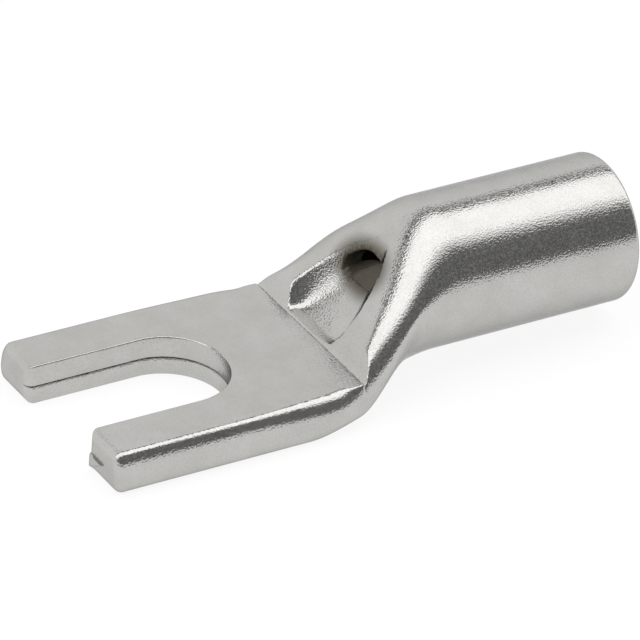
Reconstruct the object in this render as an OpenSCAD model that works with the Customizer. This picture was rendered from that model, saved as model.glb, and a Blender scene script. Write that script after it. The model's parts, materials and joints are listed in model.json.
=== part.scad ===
// Fork terminal pressed from one piece of tinned copper tube: a round barrel for the wire, a neck with a dished
// crown and an inspection hole, and a flat two-layer palm with an open slot for the stud.
// Millimetres. +X runs along the barrel to its mouth, +Z is up, the stud's axis meets the palm's underside at 0.

/* [Barrel] */
// Outside diameter of the tube
barrel_d = 5.5; // [5:0.1:6.4]
// Diameter of the bore that takes the wire
bore_d = 3.8; // [3.2:0.1:4.3]
// Length of the straight round barrel
barrel_l = 7.4; // [5:0.1:14]
// Height of the barrel's underside above the palm's underside
barrel_rise = 0.22; // [0:0.02:0.5]
// Radius of the mouth's outer edge
mouth_r = 0.22; // [0.1:0.02:0.35]
// Chamfer of the bore at the mouth
mouth_chamfer = 0.15; // [0.05:0.05:0.3]

/* [Palm] */
// Width over the folded edges
palm_w = 8.6; // [8:0.05:10]
// Thickness of the two pressed layers
palm_t = 1.55; // [1.35:0.05:1.8]
// Width of the rounding of the folded edges at the crease, seen from above
fold_w = 0.66; // [0.5:0.02:0.8]
// Width of the same rounding on the tines
tine_fold_w = 0.38; // [0.3:0.02:0.48]
// Height of the widest line of the folded edges above the underside
fold_h = 0.55; // [0.4:0.05:0.7]
// Width of the tighter rounding along the underside
under_w = 0.3; // [0.2:0.02:0.4]
// Distance from the stud's axis to the tips of the tines
tine_l = 4.44; // [3.5:0.02:6]
// Plan radius of the tines' outer corners
tip_r = 0.45; // [0.2:0.05:0.7]

/* [Slot] */
// Clear width between the tines, in the lower layer
slot_w = 4.3; // [3.8:0.1:4.8]
// How far the upper layer's wall stands back from the lower layer's
slot_step = 0.1; // [0.05:0.01:0.15]
// Depth of the line between the two layers
seam_d = 0.12; // [0.05:0.01:0.2]
// Height of the line between the two layers
seam_h = 0.08; // [0.04:0.01:0.12]

/* [Neck] */
// Distance from the stud's axis to the crease at the foot of the neck
crease_x = 5.74; // [5.2:0.02:7]
// Length of the neck, from the crease to the round barrel
neck_l = 4.6; // [4.2:0.1:6]
// Depth of the crease
crease_d = 0.06; // [0.02:0.01:0.1]
// Width of the flat strip between the crease and the dish
strip_l = 0.41; // [0.2:0.01:0.6]
// Length over which the dish's floor rises from the palm's level to the barrel's top
dish_l = 2.87; // [2.6:0.01:3.3]
// How sharply the dish's floor curls up: 1 is a straight ramp
dish_curl = 1.8; // [1.5:0.05:2.1]
// Steepness of the ramp that limits the dish's sides at its front
front_slope = 1.7; // [1.4:0.1:2]
// Half-width of the dish's floor between its flanks, at its front
nose_half_w = 2.1; // [1.9:0.05:2.3]
// How much smaller that half-width gets per millimetre along the neck
nose_taper = 0.85; // [0.75:0.02:0.95]
// Rounding of the crest between the dish and the tube
crest_r = 0.08; // [0.04:0.02:0.2]

/* [Inspection hole] */
// Height of the hole through the dish's wall, along the wall
hole_d = 1.5; // [1.1:0.1:1.8]
// Width of the hole across the neck: the press stretches it
hole_w = 2.2; // [1.6:0.1:2.4]
// Height of the hole's centre above the palm's top
hole_h = 1.95; // [1.6:0.05:2.3]
// Lean of the hole's axis from upright towards the tines
hole_lean = 60; // [50:1:68]

/* [Hidden] */
$fn = 64;
spare = 1;
barrel_r = barrel_d / 2;
bore_r = bore_d / 2;
wall = barrel_r - bore_r;
axis_z = barrel_rise + barrel_r;
crown_z = axis_z + barrel_r;
half_w = palm_w / 2;
slot_r = slot_w / 2;
seam_z = 0.445 * palm_t;
neck_end = crease_x + neck_l;

// Where each feature of the section starts to change, before the crease, and the share of the neck at which it
// has become the barrel's
side_span = [2.0, 0.92];
under_span = [2.4, 0.52];
floor_span = [1.0, 0.7];
middle_span = [0.2, 0.6];
crown_span = [1.1, 1];
fold_span = [0.6, 1.0];

// The loft is a hair smaller than the tube where they meet, so that no two skins coincide
join_gap = 0.02;
ring_points = 60;
neck_steps = 24;
lead_steps = 7;
crease_half_w = 0.07;
lead_x = 0;

// Smallest half-width of the dish's floor, the steepness of its flanks and the rounding at their foot; how far the
// ramp at the sides starts in front of the dish, and the rounding over its edge
nose_tip = 0.3;
nose_slope = 1.5;
nose_round = 0.5;
front_lead = 0.8 * strip_l;
front_round = 0.12;

// The inner skin follows the dish at this shift along X and down
cavity_shift = wall * sin(hole_lean);
cavity_drop = wall * cos(hole_lean);
cavity_start = crease_x + strip_l + cavity_shift;
cavity_steps = 12;
cavity_points = 40;
slit_h = 0.1;

function clamp01(k) = min(1, max(0, k));
function ease(k) = k * k * (3 - 2 * k);
function mix(from, to, k) = from + (to - from) * k;

// Share of a feature's change that is done at station x
function done(x, span) =
    ease(clamp01((x - crease_x + span[0]) / (span[0] + neck_l * span[1])));

// The smaller of two heights, rounded over the crest where they cross
function soft_min(a, b, r) =
    let (k = clamp01(0.5 + (b - a) / (2 * r)))
    mix(b, a, k) - r * k * (1 - k);

// Underside of the press tool: flat over the palm, then a tapering floor that curls up between straight flanks
function dish_z(x, y) =
    let (
        from_strip = x - crease_x - strip_l,
        start = max(0, from_strip),
        half = max(nose_tip, nose_half_w - nose_taper * start),
        side = abs(y) - half,
        nose = nose_slope / 2 * (side + norm([side, nose_round]) + half - norm([half, nose_round])),
        ramp = front_slope * max(0, from_strip + front_lead),
        bowl = soft_min(nose, ramp, max(0.001, min(front_round, ramp)))
    )
    palm_t + (crown_z - palm_t) * pow(start / dish_l, dish_curl) + bowl;

// Height of a quarter-elliptic corner at distance y from the middle: 1 on the flat, 0 at the widest line
function corner(y, half, width) =
    sqrt(max(0, 1 - pow(max(0, (abs(y) - half + width) / width), 2)));

// Depth of the crease at station x
function crease(x) = crease_d * max(0, 1 - abs(x - crease_x) / crease_half_w);

// One section of the outer skin: two flats joined by elliptic corners that grow until the section is round
function outer_ring(x) =
    let (
        half = mix(half_w, barrel_r, done(x, side_span)) - join_gap * done(x, crown_span),
        top = mix(palm_t, crown_z - join_gap, done(x, crown_span)),
        low = mix(0, barrel_rise + join_gap, done(x, floor_span)),
        middle = mix(fold_h, axis_z, done(x, middle_span)),
        palm_fold_w = mix(tine_fold_w, fold_w, ease(clamp01(x / crease_x))),
        upper_w = min(half, mix(palm_fold_w, barrel_r, done(x, fold_span))),
        lower_w = min(half, mix(under_w, barrel_r, done(x, under_span)))
    )
    [for (i = [0 : ring_points - 1])
        let (
            turn = 360 * i / ring_points,
            y = half * sin(turn),
            upper = cos(turn) > 0,
            tube_z = upper
                ? mix(middle, top, corner(y, half, upper_w))
                : mix(middle, low, corner(y, half, lower_w)),
            reach = max(0.001, min(crest_r, top - palm_t)),
            z = upper ? max(min(tube_z, middle), soft_min(tube_z, dish_z(x, y), reach)) : tube_z
        )
        [x, y, upper ? z - crease(x) * corner(y, half, upper_w) : z]];

// One section of the hollow inside the neck, a wall's thickness within the outer skin
function inner_ring(x) =
    let (
        k = clamp01((x - cavity_start) / (neck_end - cavity_start)),
        half = mix(half_w, barrel_r, done(x, side_span)) - wall - join_gap,
        low = mix(0, barrel_rise, done(x, floor_span)) + wall + join_gap,
        roof = min(axis_z + bore_r - join_gap, dish_z(x - cavity_shift, 0) - cavity_drop),
        top = max(low + slit_h, mix(roof, axis_z + bore_r - join_gap, ease(k))),
        corner_w = mix(wall, bore_r - join_gap, ease(clamp01(2 * k)))
    )
    [for (i = [0 : cavity_points - 1])
        let (
            turn = 360 * i / cavity_points,
            y = half * sin(turn),
            h = corner(y, half, min(half, corner_w))
        )
        [x, y, (low + top) / 2 + (cos(turn) > 0 ? 1 : -1) * h * (top - low) / 2]];

// Middle of a ring of points
function centre(ring) = [for (p = ring) 1] * ring / len(ring);

// Closed skin through a list of rings with equal numbers of points, each end closed by a fan from its middle
module loft(rings) {
    n = len(rings[0]);
    last = len(rings) - 1;
    points = concat([for (ring = rings) each ring], [centre(rings[0]), centre(rings[last])]);
    first_hub = (last + 1) * n;
    sides = [for (j = [0 : last - 1]) for (i = [0 : n - 1])
        let (a = j * n + i, b = j * n + (i + 1) % n) each [[a, b, a + n], [b, b + n, a + n]]];
    caps = [for (i = [0 : n - 1])
        let (next = (i + 1) % n) each [[next, i, first_hub], [last * n + i, last * n + next, first_hub + 1]]];
    polyhedron(points, concat(sides, caps));
}

// Straight front of the palm: the section at the lead station carried out to the tips, corners rounded in plan
module palm_front() {
    section = [for (p = outer_ring(lead_x)) [p[1], p[2]]];
    intersection() {
        translate([-tine_l, 0, 0])
            rotate([90, 0, 90])
                linear_extrude(height = tine_l + lead_x)
                    polygon(section);
        translate([0, 0, -spare])
            linear_extrude(height = palm_t + 2 * spare)
                tip_outline();
    }
}

// Plan outline that rounds the outer corners of the tips
module tip_outline() {
    for (side = [-1, 1])
        translate([tip_r - tine_l, side * (half_w - tip_r)])
            circle(tip_r);
    translate([-tine_l, tip_r - half_w])
        square([tip_r, palm_w - 2 * tip_r]);
    translate([tip_r - tine_l, -half_w - spare])
        square([tine_l + lead_x + spare, palm_w + 2 * spare]);
}

// Back of the palm and the pressed neck, up to the round barrel
module neck_skin() {
    foot = crease_x - crease_half_w;
    heel = crease_x + crease_half_w;
    stations = concat(
        [for (i = [0 : lead_steps]) mix(lead_x, foot, i / lead_steps)],
        [crease_x],
        [for (i = [0 : neck_steps]) mix(heel, neck_end, i / neck_steps)]);
    loft([for (x = stations) outer_ring(x)]);
}

// Straight round barrel with its rounded mouth
module barrel() {
    edge = [for (i = [0 : 6]) [barrel_r - mouth_r * (1 - cos(15 * i)), barrel_l - mouth_r * (1 - sin(15 * i))]];
    translate([neck_end, 0, axis_z])
        rotate([0, 90, 0])
            rotate_extrude()
                polygon(concat([[0, 0], [barrel_r, 0]], edge, [[0, barrel_l]]));
}

// Bore of the barrel with the chamfer at its mouth
module bore() {
    translate([neck_end, 0, axis_z])
        rotate([0, 90, 0]) {
            cylinder(r = bore_r, h = barrel_l + spare);
            translate([0, 0, barrel_l - mouth_chamfer])
                cylinder(r1 = bore_r, r2 = bore_r + mouth_chamfer + spare, h = mouth_chamfer + spare);
        }
}

// Hollow of the neck, from the bore to the slit where the two walls meet
module neck_hollow() {
    loft([for (i = [0 : cavity_steps]) inner_ring(mix(cavity_start, neck_end, i / cavity_steps))]);
}

// Open slot of half-width r between two heights
module slot(r, from_z, to_z) {
    translate([0, 0, from_z]) {
        cylinder(r = r, h = to_z - from_z);
        translate([-tine_l - spare, -r, 0])
            cube([tine_l + spare, 2 * r, to_z - from_z]);
    }
}

// Slot of the stud: lower layer, wider upper layer and the fine line between the layers
module stud_slot() {
    slot(slot_r, -spare, seam_z + seam_h);
    slot(slot_r + slot_step, seam_z, palm_t + spare);
    slot(slot_r + slot_step + seam_d, seam_z, seam_z + seam_h);
    translate([-tine_l - spare, -half_w - spare, seam_z])
        cube([spare + seam_d, palm_w + 2 * spare, seam_h]);
}

// Hole through the steep wall of the dish, into the hollow
module inspection_hole() {
    rise = hole_h / (crown_z - palm_t);
    hole_x = crease_x + strip_l + dish_l * pow(rise, 1 / dish_curl);
    translate([hole_x, 0, palm_t + hole_h])
        rotate([0, -hole_lean, 0])
            translate([0, 0, -2 * wall])
                scale([1, hole_w / hole_d, 1])
                    cylinder(d = hole_d, h = 4 * wall);
}

module fork_terminal() {
    color([0.72, 0.71, 0.69])
        difference() {
            union() {
                palm_front();
                neck_skin();
                barrel();
            }
            bore();
            neck_hollow();
            stud_slot();
            inspection_hole();
        }
}

fork_terminal();
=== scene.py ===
# %% [markdown]
# # A fork terminal, pressed from one piece of tinned copper tube
# A fork terminal joins a stranded wire to a screw stud. It starts as a short tube. One end stays round and is
# crimped on the wire. The other end is pressed flat, so that two tube walls lie on each other as a palm, and
# a slot is punched for the stud. Between them the press leaves a neck with a dished crown and an inspection
# hole. The whole part is one piece, so this lesson makes one closed skin. The part's lengths are in
# millimetres until the mesh is written, which is in metres.

# %% Load the frame
import json
import math

import bmesh
import bpy
import numpy as np
from mathutils import Matrix, Vector


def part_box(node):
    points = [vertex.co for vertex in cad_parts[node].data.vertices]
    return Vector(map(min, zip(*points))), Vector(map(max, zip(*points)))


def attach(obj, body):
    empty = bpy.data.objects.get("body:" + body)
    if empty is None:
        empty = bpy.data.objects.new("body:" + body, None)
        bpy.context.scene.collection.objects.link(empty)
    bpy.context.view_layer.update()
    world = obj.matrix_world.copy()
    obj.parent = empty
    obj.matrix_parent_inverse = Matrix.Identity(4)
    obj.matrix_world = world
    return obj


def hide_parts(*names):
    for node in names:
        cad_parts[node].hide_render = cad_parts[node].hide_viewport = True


MM = 0.001
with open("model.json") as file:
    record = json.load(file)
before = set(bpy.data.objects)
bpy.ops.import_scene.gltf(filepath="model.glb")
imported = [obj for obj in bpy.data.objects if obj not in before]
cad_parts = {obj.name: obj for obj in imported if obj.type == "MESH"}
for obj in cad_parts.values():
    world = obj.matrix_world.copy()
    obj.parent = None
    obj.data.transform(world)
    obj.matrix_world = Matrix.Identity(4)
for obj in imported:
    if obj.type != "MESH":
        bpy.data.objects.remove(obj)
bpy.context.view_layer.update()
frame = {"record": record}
low, high = (np.array(corner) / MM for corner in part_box("fork_terminal"))
bore_mount = next(m for m in frame["record"]["mounts"] if m["name"] == "barrel_bore")
print("the solid runs from", low.round(2), "to", high.round(2), "mm")

# %% [markdown]
# ## The camera
# The photograph was taken with a long lens from the near left, looking down at the terminal. Azimuth and
# elevation place the eye, the aim is the point in the middle of the picture, and a small roll levels the
# picture as the photographer held it. The lens is long because the far end of the barrel hardly shrinks.

# %% Camera
view_azimuth = math.radians(-33.36)
view_elevation = math.radians(31.77)
view_roll = math.radians(4.6)
view_distance = 258.3 * MM
view_aim = Vector((6.224, 0.204, 1.853)) * MM
long_lens = 411.85
nearest_seen = 0.01
farthest_seen = 10


def aim_camera():
    """Camera on a line from the aim: back along azimuth and elevation, then rolled about that line."""
    camera = bpy.data.objects.new("Camera", bpy.data.cameras.new("Camera"))
    back = Vector((math.sin(view_azimuth) * math.cos(view_elevation),
                   -math.cos(view_azimuth) * math.cos(view_elevation),
                   math.sin(view_elevation)))
    turn = (-back).to_track_quat("-Z", "Y").to_matrix().to_4x4()
    place = Matrix.Translation(view_aim + back * view_distance)
    camera.matrix_world = place @ turn @ Matrix.Rotation(view_roll, 4, "Z")
    camera.data.lens = long_lens
    camera.data.clip_start = nearest_seen
    camera.data.clip_end = farthest_seen
    bpy.context.scene.collection.objects.link(camera)
    bpy.context.scene.camera = camera
    return camera


camera = aim_camera()
print("camera at", [round(c / MM, 1) for c in camera.matrix_world.translation], "mm")

# %% [markdown]
# ## The sizes
# The box of the solid gives the tips, the mouth, the width and the crown, and the bore's mount gives the axis
# and the bore. The other sizes are the tube's own: how thick the pressed palm is, where the crease lies, and
# so on.

# %% Sizes
tip_x = low[0]
mouth_x = high[0]
half_w = high[1]
axis_z = bore_mount["pos_m"][2] / MM
bore_r = bore_mount["dims"]["r_mm"]
barrel_r = high[2] - axis_z
crown_z = high[2]
wall = barrel_r - bore_r
barrel_rise = axis_z - barrel_r
palm_t = 1.55
fold_w = 0.66
tine_fold_w = 0.44
fold_h = 0.55
under_w = 0.3
slot_r = 2.15
crease_x = 5.74
neck_l = 4.6
neck_end = crease_x + neck_l
print("barrel", round(2 * barrel_r, 2), "bore", round(2 * bore_r, 2), "wall", round(wall, 2), "mm")

# %% [markdown]
# ## The neck as a height over the plan
# A section through the neck is a flat-topped, flat-bottomed ring with four elliptic corners. At the palm the
# corners are small, at the barrel they have grown until the ring is a circle. The press tool then pushes a
# dish into the crown: the lower of the tube and the dish wins, and the crest between them is rounded. Because
# every point of the upper skin is a height over its place in plan, the same function can carry the crease and
# the dish.

# %% Section of the neck
crease_d = 0.08
crease_half_w = 0.07
strip_l = 0.41
dish_l = 2.87
dish_curl = 1.8
front_slope = 1.9
front_lead = 0.33
front_round = 0.04
far_half_w = 1.73
near_half_w = 1.1
far_taper = 0.61
near_taper = 0.35
nose_tip = 0.3
far_slope = 1.5
near_slope = 2.2
far_nose_round = 0.6
front_nose_round = 0.1
foot_l = 1.1
near_nose_round = 0.16
crest_r = 0.02
lean_lead = 0.5
tiny = 1e-6
side_span = (2.0, 0.92)
under_span = (2.4, 0.52)
floor_span = (1.0, 0.7)
middle_span = (0.2, 0.6)
crown_span = (1.1, 1.02)
fold_span = (0.6, 0.85)


def ease(k):
    """Smooth step: three k squared less two k cubed, held between 0 and 1."""
    k = np.clip(k, 0, 1)
    return k * k * (3 - 2 * k)


def mix(start, end, k):
    """Straight blend from start to end."""
    return start + (end - start) * k


def done(x, span):
    """Share of a feature's change from palm to barrel at station x. The span is its lead before the crease,
    in mm, and the share of the neck's length at which it is done."""
    lead, share = span
    return ease((x - crease_x + lead) / (lead + neck_l * share))


def corner(y, half, width):
    """Quarter ellipse: 1 over the flat, falling to 0 at the widest line."""
    q = np.clip((np.abs(y) - half + width) / width, 0, 1)
    return np.sqrt(1 - q * q)


def half_width(x):
    """Half of the section's width at station x."""
    return mix(half_w, barrel_r, done(x, side_span))


def soft_min(a, b, r):
    """The smaller of two heights, with the crossing rounded over a reach of r."""
    k = np.clip(0.5 + (b - a) / (2 * r), 0, 1)
    return mix(b, a, k) - r * k * (1 - k)


def dish_height(x, y):
    """Underside of the press tool: flat over the palm, then a floor that curls up as a power of the distance
    past the strip. Straight flanks stand on it, over a floor that gets narrower. The near flank is the
    steeper one and stands further in. The far flank's foot gets rounder along the dish. A ramp limits both
    flanks at the front."""
    start = x - crease_x - strip_l
    y = np.asarray(y, float)
    rise = (crown_z - palm_t) * (np.clip(start, 0, None) / dish_l) ** dish_curl
    far = ease(y + lean_lead)
    widest = mix(near_half_w, far_half_w, far)
    half = np.clip(widest - mix(near_taper, far_taper, far) * start, nose_tip, widest)
    side = np.abs(y) - half
    far_foot = mix(front_nose_round, far_nose_round, ease(start / foot_l))
    foot = mix(near_nose_round, far_foot, far)
    above_foot = (side + np.hypot(side, foot) + half - np.hypot(half, foot)) / 2
    nose = mix(near_slope, far_slope, far) * above_foot
    ramp = front_slope * np.clip(start + front_lead, 0, None)
    bowl = soft_min(nose, ramp, np.clip(ramp, tiny, front_round))
    return palm_t + rise + bowl


def fold_width(x):
    """Width of the rounded upper edge: narrow on the tines, wider at the crease, a half round on the
    barrel."""
    palm = mix(tine_fold_w, fold_w, ease(x / crease_x))
    return np.minimum(half_width(x), mix(palm, barrel_r, done(x, fold_span)))


def upper_skin(x, y):
    """Height of the upper skin over plan point (x, y): the tube's section pressed down by the dish, less the
    crease."""
    half = half_width(x)
    top = mix(palm_t, crown_z, done(x, crown_span))
    middle = mix(fold_h, axis_z, done(x, middle_span))
    width = fold_width(x)
    tube = mix(middle, top, corner(y, half, width))
    reach = np.clip(top - palm_t, tiny, crest_r)
    pressed = soft_min(tube, dish_height(x, y), reach)
    nick = np.clip(1 - np.abs(x - crease_x) / crease_half_w, 0, 1)
    groove = crease_d * nick * corner(y, half, width)
    return pressed - groove


def lower_skin(x, y):
    """Height of the lower skin over plan point (x, y): flat under the palm, a half round under the barrel."""
    half = half_width(x)
    floor = mix(0, barrel_rise, done(x, floor_span))
    middle = mix(fold_h, axis_z, done(x, middle_span))
    width = np.minimum(half, mix(under_w, barrel_r, done(x, under_span)))
    return mix(middle, floor, corner(y, half, width))


samples = (6.0, 7.0, 8.0, 9.0, 10.0)
print("dish at the middle plane:", [(x, round(float(upper_skin(x, 0.0)), 2)) for x in samples])

# %% [markdown]
# ## Patches
# Every part of the skin is a grid of points, so a patch is kept as an array of rows and columns. `sew` later
# puts all patches into one mesh and merges the points that neighbouring patches share.

# %% Patch helpers
patches = []


def add_grid(grid, closed=False, keep=None, inside=0.0):
    """Adds a grid of points (rows, columns, 3). Closed joins the last column to the first, keep masks its
    cells, and inside is 1 for skin inside the tube, which the material paints near black as shade."""
    rows, columns = grid.shape[:2]
    index = np.arange(rows * columns).reshape(rows, columns)
    if closed:
        index = np.concatenate([index, index[:, :1]], axis=1)
    quads = np.stack([index[:-1, :-1], index[1:, :-1], index[1:, 1:], index[:-1, 1:]], axis=-1)
    quads = quads[keep] if keep is not None else quads.reshape(-1, 4)
    patches.append((grid.reshape(-1, 3), quads, np.full(rows * columns, inside)))


def lift(x, y, z):
    """Stacks three arrays into points, after stretching them to one shape."""
    return np.stack(np.broadcast_arrays(x, y, z), axis=-1).astype(float)


# %% [markdown]
# ## Neck and barrel
# The ring of points at each station uses y = half width times the sine of the turn, which puts points close
# together at the folds and evenly round the barrel. The inspection hole is not cut afterwards: the cells
# where it lies are left out, and the lines round them are bent until they run round the hole.

# %% Neck and barrel grid
turn_step = 1.25
turns = np.radians(np.arange(0, 360, turn_step))
upper_turn = np.cos(turns) > -tiny
web_x = 2.7
mouth_r = 0.22
palm_rows, crease_rows, neck_rows, barrel_rows = 40, 7, 78, 30
palm_stations = np.linspace(web_x, crease_x - 2 * crease_half_w, palm_rows)
crease_stations = np.linspace(crease_x - crease_half_w, crease_x + crease_half_w, crease_rows)
neck_stations = np.linspace(crease_x + 2 * crease_half_w, neck_end, neck_rows)
barrel_stations = np.linspace(neck_end, mouth_x - mouth_r, barrel_rows)[1:]
stations = np.concatenate([palm_stations, crease_stations, neck_stations, barrel_stations])
ring_x = np.repeat(stations[:, None], len(turns), axis=1)
ring_y = half_width(ring_x) * np.sin(turns)

hole_r = 0.62
hole_half_w = 1.1
hole_y = 0.12
hole_bend = 0.28
hole_h = 1.9
hole_lean = math.radians(60)
hole_x = crease_x + strip_l + dish_l * (hole_h / (crown_z - palm_t)) ** (1 / dish_curl)
hole_reach = np.array([hole_r * math.cos(hole_lean), hole_half_w])
block = (6, 18)
blend_reach = 2.4


def punch(x, y, centre, reach, half_block, columns_shift):
    """Bends a grid round an elliptic hole. Points at square distance 1 land on the ellipse, whose ends are
    drawn forward along the dish by the square of the distance from the middle. Points beyond fade back."""
    row = np.argmin(np.abs(x[:, 0] - centre[0]))
    columns = (np.arange(x.shape[1]) + columns_shift) % x.shape[1] - columns_shift
    p = np.sign(x[-1, 0] - x[0, 0]) * (np.arange(x.shape[0]) - row)[:, None] / half_block[0]
    q = columns[None, :] / half_block[1]
    rho = np.maximum(np.abs(p), np.abs(q))
    angle = np.arctan2(q, p)
    fade = ease((rho - 1) / (blend_reach - 1))
    near = rho < blend_reach
    target_y = centre[1] + rho * reach[1] * np.sin(angle)
    bend = hole_bend * np.minimum(np.abs(target_y), reach[1]) ** 2
    target_x = centre[0] + rho * reach[0] * np.cos(angle) - bend
    bent_x = np.where(near, mix(target_x, x, fade), x)
    bent_y = np.where(near, mix(target_y, y, fade), y)
    return bent_x, bent_y, rho, angle


def outside_hole(rho):
    """Mask of a closed grid's cells that lie outside the hole: their farthest corner is beyond distance 1."""
    rho = np.concatenate([rho, rho[:, :1]], axis=1)
    return np.maximum.reduce([rho[:-1, :-1], rho[1:, :-1], rho[1:, 1:], rho[:-1, 1:]]) > 1 + tiny


half_turn = len(turns) // 2
ring_x, ring_y, hole_rho, hole_angle = punch(
    ring_x, ring_y, (hole_x, hole_y), hole_reach, block, half_turn)
ring_z = np.where(upper_turn, upper_skin(ring_x, ring_y), lower_skin(ring_x, ring_y))
outer = lift(ring_x, ring_y, ring_z)
add_grid(outer, closed=True, keep=outside_hole(hole_rho))
print("neck and barrel:", outer.shape[0], "stations of", outer.shape[1], "points")

# %% [markdown]
# ## Mouth, bore and hollow
# At the mouth the skin turns over a small radius, crosses the cut end and goes back inside as the bore. Past
# the bore the hollow of the neck narrows to the slit where the two walls meet. Mouth and bore are round
# rings. The hollow is a section like the neck's, a wall's thickness further in.

# %% Mouth, bore and hollow
mouth_chamfer = 0.15
slit_h = 0.1
arc_rows, bore_rows, hollow_rows = 9, 12, 40
inner_hole_lead = 1.15
halfway = 0.5
hollow_shift = wall * math.sin(hole_lean)
hollow_drop = wall * math.cos(hole_lean)
hollow_start = crease_x + strip_l + hollow_shift


def ring_of_radius(x, r):
    """Circle of radius r about the barrel's axis at station x, for arrays of x and r."""
    x, r = np.asarray(x, float)[:, None], np.asarray(r, float)[:, None]
    return lift(x, r * np.sin(turns), axis_z + r * np.cos(turns))


arc = np.radians(np.linspace(0, 90, arc_rows))
lip_x = np.concatenate([mouth_x - mouth_r * (1 - np.sin(arc)), [mouth_x, mouth_x, mouth_x - mouth_chamfer],
                        np.linspace(mouth_x - 2 * mouth_chamfer, neck_end, bore_rows)])
lip_r = np.concatenate([barrel_r - mouth_r * (1 - np.cos(arc)),
                        [bore_r + 2 * mouth_chamfer, bore_r + mouth_chamfer, bore_r],
                        np.full(bore_rows, bore_r)])
add_grid(ring_of_radius(lip_x, lip_r), closed=True)


def hollow_floor(x):
    """Height of the hollow's floor: a wall's thickness above the lower skin."""
    return mix(0, barrel_rise, done(x, floor_span)) + wall


def hollow_roof(x):
    """Height of the hollow's roof on the middle plane: the dish moved a wall's thickness inwards, then the
    bore."""
    k = ease((x - hollow_start) / (neck_end - hollow_start))
    floor = hollow_floor(x)
    roof = soft_min(axis_z + bore_r, dish_height(x - hollow_shift, 0.0) - hollow_drop, crest_r)
    return np.maximum(floor + slit_h, mix(roof, axis_z + bore_r, k))


def hollow_skin(x, y, sign):
    """Height of the hollow over (x, y): elliptic corners about mid-height, sign +1 for the roof and -1 for
    the floor."""
    k = (x - hollow_start) / (neck_end - hollow_start)
    half = half_width(x) - wall
    width = np.minimum(half, mix(wall, bore_r, ease(2 * k)))
    roof, floor = hollow_roof(x), hollow_floor(x)
    return (roof + floor) / 2 + sign * corner(y, half, width) * (roof - floor) / 2


hollow_x = np.repeat(np.linspace(neck_end, hollow_start, hollow_rows)[:, None], len(turns), axis=1)
hollow_y = (half_width(hollow_x) - wall) * np.sin(turns)
inner_hole_x = hole_x + inner_hole_lead * hollow_shift
hollow_x, hollow_y, inner_rho, inner_angle = punch(
    hollow_x, hollow_y, (inner_hole_x, hole_y), hole_reach, block, half_turn)
hollow = lift(hollow_x, hollow_y, hollow_skin(hollow_x, hollow_y, np.where(upper_turn, 1, -1)))
# The hollow counts as inside, so the material paints it near black as shade.
add_grid(hollow, closed=True, keep=outside_hole(inner_rho), inside=1.0)
end_ring = hollow[-1]
end_middle = end_ring.mean(axis=0)
end_point_ring = np.broadcast_to(end_middle, end_ring.shape)
add_grid(np.stack([end_ring, mix(end_ring, end_middle, halfway), end_point_ring]), closed=True, inside=1.0)
print("hollow ends at", round(hollow_start, 2), "mm")

# %% [markdown]
# ## Wall of the inspection hole
# The edge of the hole in the outer skin and the edge in the hollow have the same number of points. Sorted by
# their angle round the hole, they are joined by a short wall with a slightly rounded outer edge. Each step of
# that rounding has a share across and a share down.

# %% Wall of the inspection hole
edge_round = 0.05
edge_steps = ((0.4, 0.1), (0.8, 0.45), (1.0, 1.0))


def hole_edge(grid, rho, angle):
    """Points of the grid on the ellipse, ordered by their angle round the hole."""
    on_edge = np.abs(rho - 1) < tiny
    return grid[on_edge][np.argsort(angle[on_edge])]


outer_edge = hole_edge(outer, hole_rho, hole_angle)
inner_edge = hole_edge(hollow, inner_rho, inner_angle)
hole_middle = outer_edge.mean(axis=0)
inward = np.array([math.sin(hole_lean), 0.0, -math.cos(hole_lean)])
shrink = 1 - edge_round / hole_r
rounded = [mix(hole_middle, outer_edge, mix(1, shrink, across)) + down * edge_round * inward
           for across, down in edge_steps]
wall_rows = [outer_edge, *rounded, mix(rounded[-1], inner_edge, halfway), inner_edge]
# The hole's wall counts as inside too, so it gets the same painted shade.
add_grid(np.stack(wall_rows), closed=True, inside=1.0)
print("hole edge:", len(outer_edge), "points outside and", len(inner_edge), "inside")

# %% [markdown]
# ## Palm round the slot
# In front of the neck the palm has a constant width, so its folded edges are straight strips. Its top and
# underside are webs of lines that run from the slot's round end out to the folds and to the neck. The wall of
# the slot is one profile carried along the slot: rolled over at the top, with the line between the two layers
# cut in.

# %% Slot profile
roll_r = 0.05
seam_z = 0.66
seam_d = 0.1
seam_half_h = 0.045
lip_r0 = 0.05
lip_bulge = 0.3
seam_shoulder = 0.3
seam_foot = 0.2
roll_rows = 7
roll = np.radians(np.linspace(0, 90, roll_rows))
slot_profile = np.concatenate([
    np.stack([slot_r + roll_r * (1 - np.sin(roll)), palm_t - roll_r * (1 - np.cos(roll))], axis=1),
    [[slot_r, halfway * (palm_t - roll_r + seam_z + seam_half_h)],
     [slot_r, seam_z + 2 * seam_half_h],
     [slot_r + seam_shoulder * seam_d, seam_z + seam_half_h],
     [slot_r + seam_d, seam_z],
     [slot_r + seam_foot * seam_d, seam_z - halfway * seam_half_h],
     [slot_r, seam_z - seam_half_h - lip_r0],
     [slot_r, halfway * seam_z],
     [slot_r, 2 * lip_r0],
     [slot_r + lip_bulge * lip_r0, lip_bulge * lip_r0],
     [slot_r + lip_r0, 0.0]]])
print("slot profile:", len(slot_profile), "points")

# %% Webs of the palm
edge_turn = 57.5
side_steps = 24
web_columns = 10
edge_y = half_w * math.sin(math.radians(edge_turn))
back_turns = np.radians(np.arange(-edge_turn, edge_turn + tiny, turn_step))
back_y = half_w * np.sin(back_turns)
side_x = np.linspace(0, web_x, side_steps, endpoint=False)
rim_x = np.concatenate([side_x, np.full(len(back_y), web_x), side_x[::-1]])
rim_y = np.concatenate([np.full(side_steps, -edge_y), back_y, np.full(side_steps, edge_y)])
rim_angle = np.arctan2(rim_y, rim_x)
web_share = np.linspace(0, 1, web_columns)[None, :]


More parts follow.
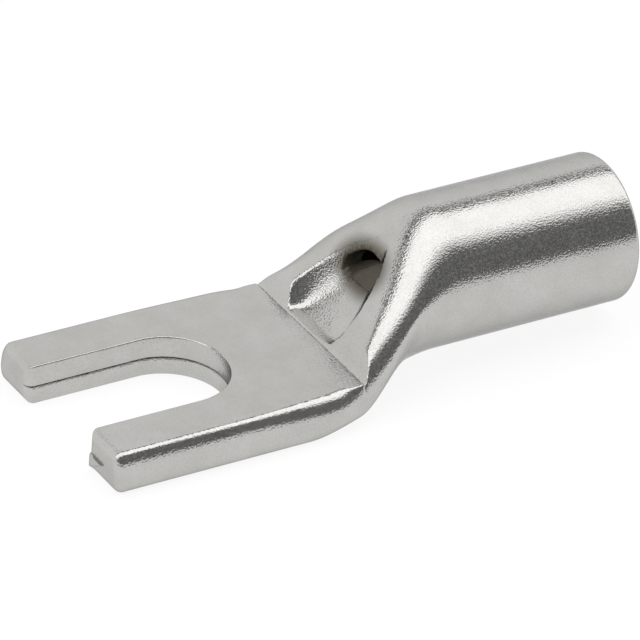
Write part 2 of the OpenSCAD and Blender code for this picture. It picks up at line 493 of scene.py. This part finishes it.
def web(radius, z):
    """Flat web at height z: straight lines from the slot's round end of that radius to the rim."""
    start_x, start_y = radius * np.cos(rim_angle), radius * np.sin(rim_angle)
    x = mix(start_x[:, None], rim_x[:, None], web_share)
    y = mix(start_y[:, None], rim_y[:, None], web_share)
    return lift(x, y, z)


add_grid(web(slot_profile[0, 0], palm_t))
add_grid(web(slot_profile[-1, 0], 0.0))
slot_x = slot_profile[:, 0] * np.cos(rim_angle)[:, None]
slot_y = slot_profile[:, 0] * np.sin(rim_angle)[:, None]
add_grid(lift(slot_x, slot_y, slot_profile[:, 1]))
fold_turns = np.radians(np.arange(edge_turn, 180 - edge_turn + tiny, turn_step))
fold_y = half_w * np.sin(fold_turns)
fold_x = np.concatenate([side_x, [web_x]])[:, None]
fold_z = np.where(np.cos(fold_turns) > -tiny, upper_skin(fold_x, fold_y), lower_skin(fold_x, fold_y))
for side in (-1, 1):
    add_grid(lift(fold_x, side * fold_y, fold_z))
print("fold:", len(fold_turns), "points from the top to the underside")

# %% [markdown]
# ## Tines
# Each tine is its section carried to the tip: the top, the fold, the underside and the slot's wall form one
# closed loop. Near the tip the loop shrinks towards its middle on a quarter circle, which rounds the edges of
# the end face. On the near tine the lower layer was cut a little longer, so its corner at the slot stands
# proud.

# %% Tines
tip_round = 0.32
layer_step = 0.08
step_fade = 0.3
tine_rows, tip_rows = 30, 8
end_shares = (0.85, 0.5, 0.1, 0.0)
tine_stations = np.linspace(0, tip_x + tip_round, tine_rows)
tip_arc = np.radians(np.linspace(0, 90, tip_rows))[1:]
top_y = mix(slot_profile[0, 0], edge_y, web_share[0])
under_y = mix(edge_y, slot_profile[-1, 0], web_share[0])
loop = np.concatenate([
    np.stack([top_y, np.full_like(top_y, palm_t)], axis=1)[:-1],
    np.stack([fold_y, fold_z[0]], axis=1)[:-1],
    np.stack([under_y, np.zeros_like(under_y)], axis=1)[:-1],
    slot_profile[::-1][:-1]])
loop_middle = (loop.min(axis=0) + loop.max(axis=0)) / 2
loop_reach = (loop.max(axis=0) - loop.min(axis=0)) / 2
end_point = np.array([loop_middle[0], seam_z])
near_lower = (loop[:, 1] < seam_z) * (1 - ease((loop[:, 0] - slot_r) / step_fade))


def tine(side):
    """Rings of the loop from the slot's centre to the tip, then shrunk on a quarter circle, then closed."""
    step = layer_step if side < 0 else 0.0
    rings = [lift(x, side * loop[:, 0], loop[:, 1]) for x in tine_stations]
    for angle in tip_arc:
        inset = tip_round * (1 - math.cos(angle))
        x = tip_x + tip_round * (1 - math.sin(angle))
        small = loop_middle + (loop - loop_middle) * (1 - inset / loop_reach)
        proud = step * math.sin(angle) * near_lower
        rings.append(lift(x - proud, side * small[:, 0], small[:, 1]))
    for share in end_shares:
        flat = mix(end_point, small, share)
        rings.append(lift(tip_x - proud * (share > 0), side * flat[:, 0], flat[:, 1]))
    return np.stack(rings)


for side in (-1, 1):
    add_grid(tine(side), closed=True)
print("tines reach", round(tip_x, 2), "mm")

# %% [markdown]
# ## One closed skin
# The patches go into one mesh. Points that two patches share are merged, the normals are turned outwards, and
# edges that really are sharp are marked, so that the rest shades as smooth pressed metal. Each point also
# gets two values for the material's painted shade: whether it lies inside the tube, and how much shade is
# painted on it round the inspection hole.

# %% Sew the skin
merge_reach = 0.002 * MM
sharp_angle = math.radians(35)
# Reach and core of the shade painted dark brown round the inspection hole.
hole_shade_reach = np.array([1.4, 1.9, 1.4])
hole_shade_core = 0.5


def grime(points):
    """Share of painted shade at each point: full at the inspection hole, fading with the distance from it
    over the dish. Its dark brown stands in for the dish's shade and its reflection of the dark hollow."""
    away = np.linalg.norm((points - hole_middle) / hole_shade_reach, axis=1)
    return 1 - ease((away - hole_shade_core) / (1 - hole_shade_core))


def sew(name):
    """All patches as one mesh object in metres, with shared points merged and normals outwards."""
    counts = np.cumsum([0] + [len(points) for points, _, _ in patches])
    points = np.concatenate([points for points, _, _ in patches])
    quads = np.concatenate([quads + start for (_, quads, _), start in zip(patches, counts)])
    mesh = bpy.data.meshes.new(name)
    mesh.from_pydata(points * MM, [], quads.tolist())
    inside = np.concatenate([values for _, _, values in patches])
    # Skin inside the tube, which the material paints near black as shade.
    mesh.attributes.new("inside", "FLOAT", "POINT").data.foreach_set("value", inside)
    # How much shade is painted round the inspection hole, at each point.
    mesh.attributes.new("grime", "FLOAT", "POINT").data.foreach_set("value", grime(points))
    work = bmesh.new()
    work.from_mesh(mesh)
    bmesh.ops.remove_doubles(work, verts=work.verts, dist=merge_reach)
    bmesh.ops.recalc_face_normals(work, faces=work.faces)
    open_edges = sum(not edge.is_manifold for edge in work.edges)
    volume = work.calc_volume(signed=True)
    work.to_mesh(mesh)
    work.free()
    mesh.polygons.foreach_set("use_smooth", np.ones(len(mesh.polygons), bool))
    mesh.set_sharp_from_angle(angle=sharp_angle)
    piece = bpy.data.objects.new(name, mesh)
    bpy.context.scene.collection.objects.link(piece)
    triangles = sum(len(face.vertices) - 2 for face in mesh.polygons)
    print(name, "has", triangles, "triangles,", open_edges, "open edges,", round(volume / MM ** 3, 1), "mm3")
    return piece


terminal = sew("fork_terminal_skin")

# %% [markdown]
# ## Tin plate
# Matt tin is a soft white metal. It mirrors the studio with a blur, and it has a fine grain and duller specks
# from the plating bath. Shade is painted into its colour: dark brown round the inspection hole, for the
# dish's shade and its reflection of the dark hollow, and near black and less metallic over the skin inside
# the tube.
# Clouds, grain, specks and waves are noise in object coordinates. The painted shade comes from the two values
# of the mesh.

# %% Tin plate material
edge_tint = (0.55, 0.55, 0.55, 1)
dull_tin = (0.48, 0.475, 0.455, 1)
bright_tin = (0.53, 0.525, 0.51, 1)
# Painted shade: dark brown for the dish round the inspection hole.
hole_shade_colour = (0.13, 0.118, 0.096, 1)
# Painted shade: near black for the skin inside the tube.
inside_shade_colour = (0.08, 0.07, 0.054, 1)
cloud_scale, grain_scale, wave_scale, speck_scale = 900.0, 16000.0, 1600.0, 11000.0
tint_range = (0.3, 0.7)
speck_range = (0.4, 0.7)
grain_range = (0.3, 0.7)
clean_metal, speck_metal, inside_shade_metal = 1.0, 0.8, 0.3
gloss_range = (0.1, 0.2)
wave_strength, wave_height = 0.1, 0.01 * MM
grain_strength, grain_height = 0.6, 0.012 * MM
mix_share, mix_under, mix_over, mix_result = 0, 6, 7, 2


def add_node(tree, kind, **values):
    """New shader node with its sockets set by name."""
    node = tree.nodes.new(kind)
    for key, value in values.items():
        node.inputs[key.replace("_", " ")].default_value = value
    return node


def read_attribute(tree, name):
    """Output of the mesh's own value of that name."""
    node = tree.nodes.new("ShaderNodeAttribute")
    node.attribute_name = name
    return node.outputs["Fac"]


def blend_colour(tree, under, over, share):
    """Colour output that goes from the colour under to the colour over by a share."""
    node = tree.nodes.new("ShaderNodeMix")
    node.data_type = "RGBA"
    tree.links.new(share, node.inputs[mix_share])
    tree.links.new(under, node.inputs[mix_under])
    node.inputs[mix_over].default_value = over
    return node.outputs[mix_result]


def map_range(tree, value, source, target):
    """Node that takes a value from the source range to the target range in a straight line, and stops at its
    ends."""
    node = add_node(tree, "ShaderNodeMapRange", From_Min=source[0], From_Max=source[1],
                    To_Min=target[0], To_Max=target[1])
    tree.links.new(value, node.inputs["Value"])
    return node


def tin_plate():
    """Metal with clouded colour and painted shade: dark brown round the inspection hole, near black inside
    the tube, where it is also less metallic. Specks are less metallic, the grain sets the roughness, and the
    bump is fine grain on slow waves."""
    material = bpy.data.materials.new("tin_plate")
    material.use_nodes = True
    tree = material.node_tree
    shader = tree.nodes["Principled BSDF"]
    shader.inputs["Specular Tint"].default_value = edge_tint
    place = tree.nodes.new("ShaderNodeTexCoord").outputs["Object"]
    clouds = add_node(tree, "ShaderNodeTexNoise", Scale=cloud_scale, Detail=4.0, Roughness=0.6)
    grain = add_node(tree, "ShaderNodeTexNoise", Scale=grain_scale, Detail=0.0, Roughness=0.5)
    waves = add_node(tree, "ShaderNodeTexNoise", Scale=wave_scale, Detail=2.0, Roughness=0.5)
    specks = add_node(tree, "ShaderNodeTexNoise", Scale=speck_scale, Detail=2.0, Roughness=0.6)
    for node in (clouds, grain, waves, specks):
        tree.links.new(place, node.inputs["Vector"])
    tint = tree.nodes.new("ShaderNodeValToRGB")
    for stop, position, colour in zip(tint.color_ramp.elements, tint_range, (dull_tin, bright_tin)):
        stop.position = position
        stop.color = colour
    tree.links.new(clouds.outputs["Fac"], tint.inputs["Fac"])
    inside = read_attribute(tree, "inside")
    # Painted shade: dark brown round the inspection hole.
    hole_shaded = blend_colour(tree, tint.outputs["Color"], hole_shade_colour, read_attribute(tree, "grime"))
    # Painted shade: near black inside the tube.
    inside_shaded = blend_colour(tree, hole_shaded, inside_shade_colour, inside)
    tree.links.new(inside_shaded, shader.inputs["Base Color"])
    matt = map_range(tree, specks.outputs["Fac"], speck_range, (clean_metal, speck_metal))
    # Inside the tube the metal is also made less metallic, with the painted shade.
    shine = map_range(tree, inside, (0.0, 1.0), (clean_metal, inside_shade_metal))
    tree.links.new(matt.outputs["Result"], shine.inputs["To Min"])
    tree.links.new(shine.outputs["Result"], shader.inputs["Metallic"])
    gloss = map_range(tree, grain.outputs["Fac"], grain_range, gloss_range)
    tree.links.new(gloss.outputs["Result"], shader.inputs["Roughness"])
    slow = add_node(tree, "ShaderNodeBump", Strength=wave_strength, Distance=wave_height)
    fine = add_node(tree, "ShaderNodeBump", Strength=grain_strength, Distance=grain_height)
    tree.links.new(waves.outputs["Fac"], slow.inputs["Height"])
    tree.links.new(grain.outputs["Fac"], fine.inputs["Height"])
    tree.links.new(slow.outputs["Normal"], fine.inputs["Normal"])
    tree.links.new(fine.outputs["Normal"], shader.inputs["Normal"])
    return material


terminal.data.materials.append(tin_plate())
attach(terminal, "root")
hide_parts("fork_terminal")

# %% [markdown]
# ## Studio
# The terminal lies on a glowing white table in a white room. A lit panel hangs over it, a dark bar lies
# beside the panel's far edge, and a dark card stands in front, round the camera. On a shiny tube these give a
# white band, a thin grey line and a dark band, as in the photograph. The cards are flat strips along the
# terminal. Their angles turn round its long axis, from the far side of the table upwards, and their reach is
# in metres.
# They are part of the studio, so the camera looks past them.

# %% Table and cards
white = (1, 1, 1, 1)
room_light = 1.0
table_size = 3.0
table_drop = 0.02 * MM
table_grey, table_glow = 0.13, 0.88
card_distance = 0.16
cards = {
    "roof": dict(start=65, end=112, reach=(-0.4, 0.4), grey=0.8, glow=1.15),
    "bar": dict(start=51, end=61, reach=(-0.4, 0.16), grey=0.12, glow=0.0),
    "front": dict(start=122, end=175, reach=(-1.2, 0.4), grey=0.15, glow=0.0),
}


def stage_quad(name, corners, material):
    """Flat four-cornered piece of the studio."""
    mesh = bpy.data.meshes.new(name)
    mesh.from_pydata(corners, [], [(0, 1, 2, 3)])
    mesh.materials.append(material)
    card = bpy.data.objects.new(name, mesh)
    bpy.context.scene.collection.objects.link(card)
    return card


def card_material(name, grey, glow):
    """Matt card of a grey that also shines by its own light."""
    material = bpy.data.materials.new(name)
    material.use_nodes = True
    tree = material.node_tree
    tree.nodes.remove(tree.nodes["Principled BSDF"])
    matt = add_node(tree, "ShaderNodeBsdfDiffuse", Color=(grey, grey, grey, 1))
    light = add_node(tree, "ShaderNodeEmission", Color=white, Strength=glow)
    both = tree.nodes.new("ShaderNodeAddShader")
    tree.links.new(matt.outputs[0], both.inputs[0])
    tree.links.new(light.outputs[0], both.inputs[1])
    tree.links.new(both.outputs[0], tree.nodes["Material Output"].inputs["Surface"])
    return material


def card(name, start, end, reach, grey, glow):
    """Strip between two angles round the terminal's axis, over a reach along it, unseen by the camera."""
    angles = (math.radians(start), math.radians(end))
    rows = [(card_distance * math.cos(angle), card_distance * math.sin(angle)) for angle in angles]
    corners = [(reach[0], *rows[0]), (reach[1], *rows[0]), (reach[1], *rows[1]), (reach[0], *rows[1])]
    piece = stage_quad(name, corners, card_material(name, grey, glow))
    piece.visible_camera = False
    return piece


def white_room():
    """World of plain white light."""
    world = bpy.data.worlds.new("white_room")
    bpy.context.scene.world = world
    world.use_nodes = True
    world.node_tree.nodes["Background"].inputs["Color"].default_value = white
    world.node_tree.nodes["Background"].inputs["Strength"].default_value = room_light


table_signs = ((-1, -1), (1, -1), (1, 1), (-1, 1))
table_corners = [(x * table_size, y * table_size, -table_drop) for x, y in table_signs]
stage_quad("table", table_corners, card_material("table", table_grey, table_glow))
white_room()
for name, values in cards.items():
    card(name, **values)
bpy.context.scene.view_settings.view_transform = "Standard"
print("studio has", len(cards), "cards and a table")

# %% [markdown]
